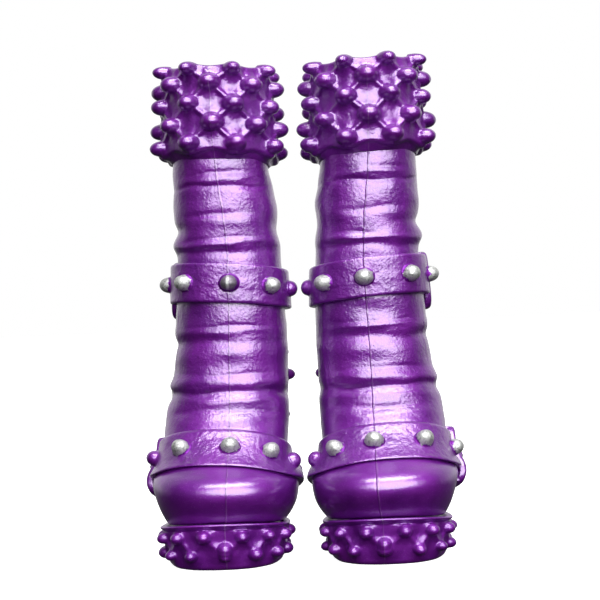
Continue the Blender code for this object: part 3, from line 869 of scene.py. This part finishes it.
# Noise cells to a metre of the vinyl's colour, of the gaps in its painted seam highlight, of its gloss and
# dents, and of the paint's edge, wear and gloss
CLOUDS, FLAKES, SEAM_HIGHLIGHT_GAPS, GLOSS_PATCHES, DENTS = 260, 9000, 400, 700, 620
PAINT_EDGE, PAINT_WEAR, PAINT_GLOSS, PAINT_LUMPS = 1500, 3800, 3000, 3200
# Roughness from the glossiest to the dullest patch
VINYL_ROUGHNESS, PAINT_ROUGHNESS = (0.50, 0.64), (0.42, 0.62)
# Heights in metres of the parting line, the paint's edge and the paint's lumps
SEAM_HEIGHT, PAINT_HEIGHT, LUMP_HEIGHT = 0.00004, 0.00004, 0.00009


def seam_line(nodes):
    """1 on the mould's parting line, fading to 0 within a tenth of a millimetre."""
    seam = nodes.add("ShaderNodeAttribute", attribute_name="seam").outputs["Fac"]
    return nodes.ramp(nodes.math("ABSOLUTE", seam, 0.0), 0.1, 0.02)


def vinyl_base(nodes, place):
    """The pearly purple's colour: cloudy, with fine bright flakes, and a paler, broken line at the seam that
    is a painted highlight.
    """
    clouds = nodes.ramp(nodes.noise(place, CLOUDS, 3), 0.35, 0.68)
    colour = nodes.mix(clouds, PURPLE_DEEP, PURPLE)
    flakes = nodes.ramp(nodes.noise(place, FLAKES, 1), 0.62, 0.8, 0.0, 0.35)
    colour = nodes.mix(flakes, colour, PALE_FLAKE)
    # a paler line, broken by noise, along the parting line: a painted highlight of its raised flash
    seam_highlight_gaps = nodes.ramp(nodes.noise(place, SEAM_HIGHLIGHT_GAPS, 2), 0.35, 0.65, 0.05, 0.35)
    return nodes.mix(nodes.math("MULTIPLY", seam_line(nodes), seam_highlight_gaps), colour, PAINTED_SEAM_HIGHLIGHT)


def set_vinyl_gloss(nodes, coat):
    """A pearly body under a clear skin whose strength is the coat."""
    shader = nodes.shader
    shader.inputs["Metallic"].default_value = 0.7
    shader.inputs["IOR"].default_value = 1.45
    shader.inputs["Coat Weight"].default_value = coat
    shader.inputs["Coat Roughness"].default_value = 0.22
    shader.inputs["Coat IOR"].default_value = 1.95


def vinyl(name, skin):
    """Pearly purple soft plastic with one of the VINYLS' skins."""
    nodes = Nodes(name)
    place = nodes.add("ShaderNodeTexCoord").outputs["Object"]
    nodes.link(vinyl_base(nodes, place), "Base Color")
    patches = nodes.noise(place, GLOSS_PATCHES, 4, 0.6)
    nodes.link(nodes.ramp(patches, 0.3, 0.7, *VINYL_ROUGHNESS), "Roughness")
    height = nodes.add("ShaderNodeSeparateXYZ", {"Vector": place}).outputs["Z"]
    strength = nodes.ramp(height, *TOE_SKIN, skin.at_toe, 1.0)
    fine = nodes.bump(nodes.noise(place, skin.grain, 3, 0.6), skin.grain_depth, strength)
    uneven = nodes.bump(nodes.noise(place, DENTS, 3, 0.5), skin.dent_depth, strength, fine)
    nodes.link(nodes.bump(seam_line(nodes), SEAM_HEIGHT, 0.8, uneven), "Normal")
    nodes.link(uneven, "Coat Normal")
    set_vinyl_gloss(nodes, skin.coat)
    return nodes.material


def painted_stud(name, bare, silver):
    """Silver paint daubed on a purple stud: it covers the tip and thins out unevenly towards the foot.

    bare is the share of the stud's length, up from its foot, that has no paint.
    """
    nodes = Nodes(name)
    place = nodes.add("ShaderNodeTexCoord").outputs["Object"]
    tip = nodes.add("ShaderNodeAttribute", attribute_name="tip").outputs["Fac"]
    ragged = nodes.math("SUBTRACT", nodes.noise(place, PAINT_EDGE, 3, 0.6), 0.5)
    ragged = nodes.math("MULTIPLY", ragged, 0.9)
    painted = nodes.ramp(nodes.math("ADD", tip, ragged), bare, bare + 0.10)
    wear = nodes.ramp(nodes.noise(place, PAINT_WEAR, 3, 0.65), 0.36, 0.5, 0.35, 1.0)
    # a brighter silver stripe down the stud's middle, along the parting line, is a painted highlight
    seam = nodes.add("ShaderNodeAttribute", attribute_name="seam").outputs["Fac"]
    highlight_stripe = nodes.ramp(nodes.math("ABSOLUTE", seam, 0.0), 0.24, 0.12)
    silver = nodes.mix(highlight_stripe, silver, SILVER)
    paint = nodes.mix(wear, THIN_PAINT, silver)
    nodes.link(nodes.mix(painted, vinyl_base(nodes, place), paint), "Base Color")
    nodes.link(nodes.ramp(painted, 0, 1, 0.7, 0.75), "Metallic")
    patches = nodes.noise(place, PAINT_GLOSS, 2)
    nodes.link(nodes.ramp(patches, 0.3, 0.7, *PAINT_ROUGHNESS), "Roughness")
    lumps = nodes.bump(nodes.noise(place, PAINT_LUMPS, 3, 0.6), LUMP_HEIGHT)
    nodes.link(nodes.bump(painted, PAINT_HEIGHT, 0.7, lumps), "Normal")
    nodes.shader.inputs["Coat Weight"].default_value = 0.15
    return nodes.material


def plain(name, colour, roughness):
    """One even colour."""
    nodes = Nodes(name)
    nodes.shader.inputs["Base Color"].default_value = colour
    nodes.shader.inputs["Roughness"].default_value = roughness
    return nodes.material


# ---------------------------------------------------------------- the boots

def settle(piece, side_name, slot, *replaced):
    """Puts a piece on its boot's body, in place of the model's nodes. slot, the name of one of the record's
    slots, is not used.
    """
    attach(piece, f"{side_name}_boot")
    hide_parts(*[f"{side_name}_{node}" for node in replaced])


def add_tip_attribute(piece, points, base, outward, length):
    """Stores each point's distance from a stud's foot, as a share of its length."""
    tip = ((points - base) @ outward) / length
    attribute = piece.data.attributes.new("tip", "FLOAT", "POINT")
    attribute.data.foreach_set("value", tip.astype(np.float32))


def make_studs(strap_name, strap, angles, side_name, materials):
    """A strap's studs, the first few of them painted."""
    for number, angle in enumerate(angles, start=1):
        shape, (base, outward, length) = stud_shape(strap, angle)
        node = f"{strap_name}_stud_{number}"
        painted = number <= SILVER_STUDS and f"{side_name}_{node}" not in UNPAINTED
        material = "smooth"
        if painted:
            material = "worn silver" if f"{side_name}_{node}" in WORN else "silver"
        piece = add_mesh(f"{side_name}_{node}_skin", shape, SIDES[side_name], materials[material])
        add_tip_attribute(piece, np.asarray(shape[0]), base, outward, length)
        settle(piece, side_name, "silver_paint" if painted else "purple_vinyl", node)


def make_boot(side_name, side, relief, materials):
    seed = relief[1]
    shapes = {
        "upper": (upper_shape(relief), "shaft"),
        "cuff": (cuff_shape(seed), "smooth"),
        "calf_strap": (strap_shape(CALF, relief), "strap"),
        "instep_strap": (strap_shape(INSTEP, relief), "strap"),
        "calf_buckle": (buckle_shape(CALF, CALF_BUCKLE), "smooth"),
        "instep_buckle": (buckle_shape(INSTEP, INSTEP_BUCKLE), "smooth"),
        "platform": (platform_shape(seed), "sole"),
        "heel": (heel_shape(), "smooth"),
    }
    for node, (shape, material) in shapes.items():
        piece = add_mesh(f"{side_name}_{node}_skin", shape, side, materials[material])
        settle(piece, side_name, "purple_vinyl", node)
    make_studs("calf", CALF, CALF_STUDS, side_name, materials)
    make_studs("instep", INSTEP, INSTEP_STUDS, side_name, materials)


def make_boots():
    materials = {name: vinyl(f"{name}_vinyl", skin) for name, skin in VINYLS.items()}
    materials["silver"] = painted_stud("silver_paint", SILVER_BARE, SILVER)
    materials["worn silver"] = painted_stud("worn_silver_paint", WORN_SILVER_BARE, WORN_SILVER)
    for side_name, side in SIDES.items():
        make_boot(side_name, side, RELIEFS[side_name], materials)


# ---------------------------------------------------------------- camera, light and floor

# Camera, lights and floor are in metres
CAMERA_HEIGHT, CAMERA_DISTANCE, CAMERA_LENS = 0.0312, 0.177, 83.2
CAMERA_YAW, CAMERA_ROLL = math.radians(2.5), math.radians(-2.5)
Light = namedtuple("Light", "name place size power colour")
LIGHTS = (
    Light("key", (0.12, -0.48, 0.28), (0.72, 0.56), 5.0, (0.97, 0.97, 1.0)),
    Light("wash", (0.13, -0.50, 0.32), (1.2, 0.70), 2.0, (1, 1, 1)),
    Light("top", (0.05, -0.16, 0.50), (0.5, 0.2), 2.6, (1, 1, 1)),
)
LIGHT_TARGET = (0, 0, 0.03)
FLOOR_REACH, FLOOR_DROP, FLOOR_GLOW = 1.5, 0.00002, 0.9


def make_camera():
    """A camera level with the boots' middle, in front of them and a little towards +X."""
    data = bpy.data.cameras.new("camera")
    data.lens = CAMERA_LENS
    data.sensor_width = 36
    data.clip_start = 0.001
    camera = bpy.data.objects.new("camera", data)
    across, back = CAMERA_DISTANCE * math.sin(CAMERA_YAW), CAMERA_DISTANCE * math.cos(CAMERA_YAW)
    camera.location = (across, DEPTH_SHIFT * MM - back, CAMERA_HEIGHT)
    camera.rotation_euler = (math.radians(90), 0, CAMERA_YAW)
    camera.rotation_euler.rotate_axis("Z", CAMERA_ROLL)
    bpy.context.scene.collection.objects.link(camera)
    bpy.context.scene.camera = camera


def make_lights():
    """Large soft lights in front of the boots and above them."""
    for name, place, size, power, colour in LIGHTS:
        data = bpy.data.lights.new(name, "AREA")
        data.shape = "ELLIPSE"
        data.size, data.size_y = size
        data.energy = power
        data.color = colour
        light = bpy.data.objects.new(name, data)
        light.location = place
        aim = Vector(LIGHT_TARGET) - Vector(place)
        light.rotation_euler = aim.to_track_quat("-Z", "Y").to_euler()
        bpy.context.scene.collection.objects.link(light)


# Share of the direction along an axis (+Y is away from the camera) at the dim and the bright end, and the
# strength at each end
WORLD_DEPTH = (-0.1, 0.95, 0.03, 0.95)
WORLD_HEIGHT = (-0.3, 0.1, 0.05, 1.0)


def make_world():
    """A white room behind, beside and above the boots, dimmer towards the camera and below."""
    world = bpy.data.worlds.new("studio")
    bpy.context.scene.world = world
    world.use_nodes = True
    tree = world.node_tree
    place = tree.nodes.new("ShaderNodeTexCoord")
    split = tree.nodes.new("ShaderNodeSeparateXYZ")
    tree.links.new(place.outputs["Generated"], split.inputs[0])
    shares = []
    for axis, settings in (("Y", WORLD_DEPTH), ("Z", WORLD_HEIGHT)):
        share = tree.nodes.new("ShaderNodeMapRange")
        share.interpolation_type = "SMOOTHSTEP"
        tree.links.new(split.outputs[axis], share.inputs["Value"])
        for key, value in zip(("From Min", "From Max", "To Min", "To Max"), settings):
            share.inputs[key].default_value = value
        shares.append(share.outputs["Result"])
    product = tree.nodes.new("ShaderNodeMath")
    product.operation = "MULTIPLY"
    for share, socket in zip(shares, product.inputs):
        tree.links.new(share, socket)
    # the backdrop itself is plain white
    path = tree.nodes.new("ShaderNodeLightPath")
    seen = tree.nodes.new("ShaderNodeMath")
    seen.operation = "MAXIMUM"
    tree.links.new(path.outputs["Is Camera Ray"], seen.inputs[0])
    tree.links.new(product.outputs[0], seen.inputs[1])
    background = tree.nodes["Background"]
    background.inputs["Color"].default_value = (1, 1, 1, 1)
    tree.links.new(seen.outputs[0], background.inputs["Strength"])


def make_floor():
    """A plain white floor just under the soles. It doesn't light the boots or show in their gloss."""
    mesh = bpy.data.meshes.new("floor")
    corners = ((-1, -1), (1, -1), (1, 1), (-1, 1))
    points = [(x * FLOOR_REACH, y * FLOOR_REACH, -FLOOR_DROP) for x, y in corners]
    mesh.from_pydata(points, [], [(0, 1, 2, 3)])
    floor_white = plain("floor_white", (0.8, 0.8, 0.8, 1), 0.7)
    shader = floor_white.node_tree.nodes["Principled BSDF"]
    shader.inputs["Emission Color"].default_value = (1, 1, 1, 1)
    shader.inputs["Emission Strength"].default_value = FLOOR_GLOW
    mesh.materials.append(floor_white)
    floor = bpy.data.objects.new("floor", mesh)
    floor.visible_diffuse = False
    floor.visible_glossy = False
    bpy.context.scene.collection.objects.link(floor)


def main():
    make_camera()
    make_boots()
    make_floor()
    make_world()
    make_lights()
    bpy.context.scene.view_settings.view_transform = "Standard"


main()
